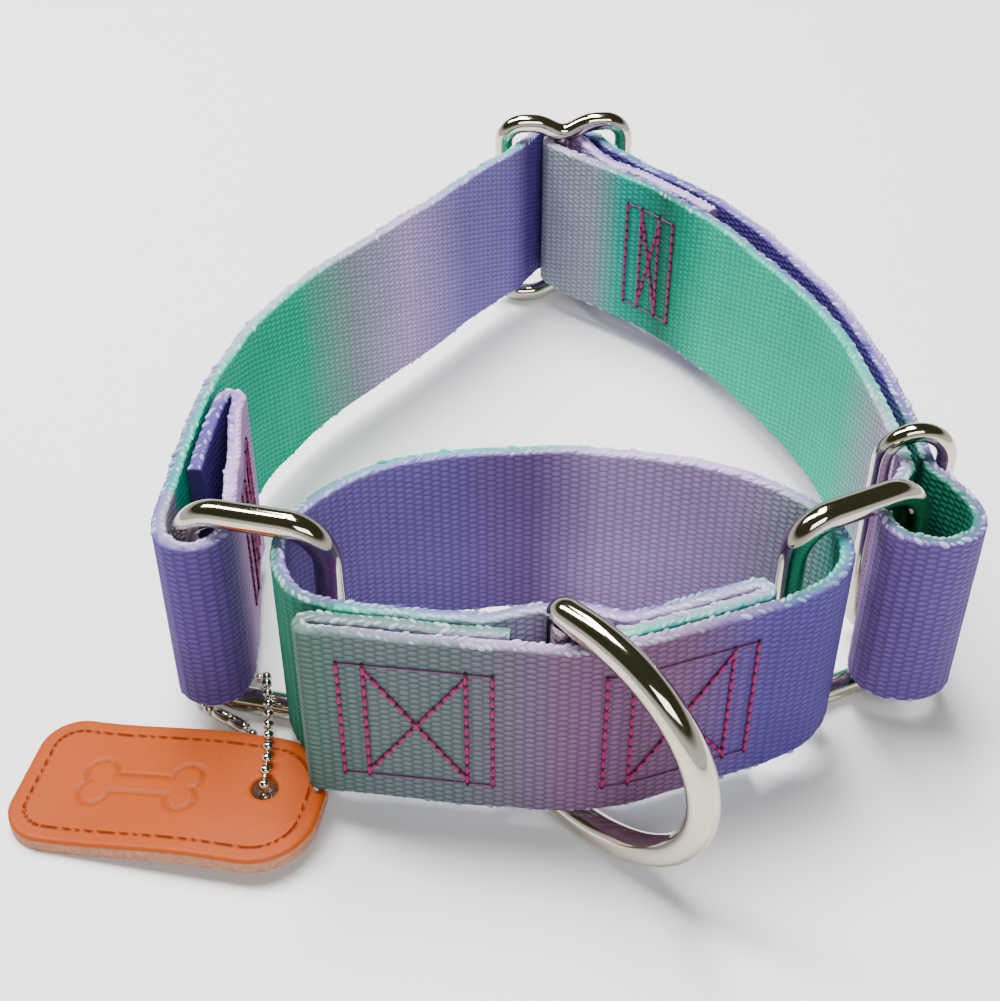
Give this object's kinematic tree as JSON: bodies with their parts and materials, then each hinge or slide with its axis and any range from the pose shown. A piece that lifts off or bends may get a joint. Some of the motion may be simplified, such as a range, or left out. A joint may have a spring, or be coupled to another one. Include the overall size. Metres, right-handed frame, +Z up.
{
  "type": "martingale dog collar",
  "caption": "Adjustable martingale dog collar in dyed webbing with a sewn control loop, leash D-ring, three-bar slide, keeper and a leather tag on a bead chain.",
  "frame": {"origin": "middle of the footprint, on the surface that the collar stands on", "axes": "+Z up along the webbing's width, -Y towards the control loop and leash ring, +X to the right branch"},
  "size_m": [0.168, 0.1966, 0.0507],
  "materials": {
    "webbing": "matte woven polyester, gradient dyed",
    "chrome": "polished plate",
    "leather": "smooth with raw edges",
    "thread": "twisted thread"
  },
  "bodies": {
    "neck_right": {"neck_slide_loop": "webbing", "neck_inner_run": "webbing", "neck_ring_loop": "webbing", "neck_outer_run": "webbing", "stitch_slide_end_inside": "thread", "stitch_slide_end_outside": "thread"},
    "neck_left": {"neck_left_run": "webbing", "neck_left_loop": "webbing", "stitch_left_end_inside": "thread", "stitch_left_end_outside": "thread"},
    "left_ring": {"left_ring": "chrome"},
    "right_ring": {"right_ring": "chrome"},
    "control_loop": {"control_outer_layer": "webbing", "control_right_bend": "webbing", "control_back_run": "webbing", "control_left_bend": "webbing", "control_inner_layer": "webbing", "stitch_control_left_front": "thread", "stitch_control_left_back": "thread", "stitch_control_right_front": "thread", "stitch_control_right_back": "thread"},
    "d_ring": {"d_ring": "chrome"},
    "slide": {"slide": "chrome"},
    "keeper": {"keeper": "chrome"},
    "tag_chain": {"bead_chain": "chrome", "chain_connector": "chrome"},
    "leather_tag": {"leather_tag": "leather"}
  },
  "joints": [
    {"name": "neck_draw", "type": "hinge", "parent": "neck_right", "child": "neck_left", "pos_m": [0.00617, 0.08813, 0.02525], "axis": [0, 0, 1], "range_deg": [-0.5, 1]},
    {"name": "leash_pull", "type": "hinge", "parent": "neck_right", "child": "right_ring", "pos_m": [0.07307, -0.04257, 0.025], "axis": [0, 0, 1], "range_deg": [-6, 7]},
    {"name": "control_loop_shift", "type": "hinge", "parent": "right_ring", "child": "control_loop", "pos_m": [0.05012, -0.05367, 0.025], "axis": [0, 0, 1], "range_deg": [-7, 6]},
    {"name": "left_ring_swing", "type": "hinge", "parent": "neck_left", "child": "left_ring", "pos_m": [-0.05293, -0.04887, 0.025], "axis": [0, 0, 1], "range_deg": [-7, 6]},
    {"name": "d_ring_swing", "type": "hinge", "parent": "control_loop", "child": "d_ring", "pos_m": [0.01057, -0.07417, 0.02525], "axis": [0, 0, 1], "range_deg": [-95, 14]},
    {"name": "slide_tilt", "type": "hinge", "parent": "neck_right", "child": "slide", "pos_m": [0.01587, 0.09003, 0.02525], "axis": [0, 0, 1], "range_deg": [-3, 3]},
    {"name": "keeper_slide", "type": "slide", "parent": "neck_right", "child": "keeper", "axis": [-0.0725, 0.9974, 0], "range_m": [0, 0.01]},
    {"name": "chain_swing", "type": "hinge", "parent": "left_ring", "child": "tag_chain", "pos_m": [-0.04051, -0.05178, 0.0025], "axis": [0, 0, 1], "range_deg": [-5, 0]},
    {"name": "tag_swivel", "type": "hinge", "parent": "tag_chain", "child": "leather_tag", "pos_m": [-0.03973, -0.07437, 0.004], "axis": [0, 0, 1], "range_deg": [-8, 30]}
  ],
  "couplings": [
    {"joint": "control_loop_shift", "follows": "leash_pull", "ratio": -1},
    {"joint": "left_ring_swing", "follows": "leash_pull", "ratio": -1}
  ]
}
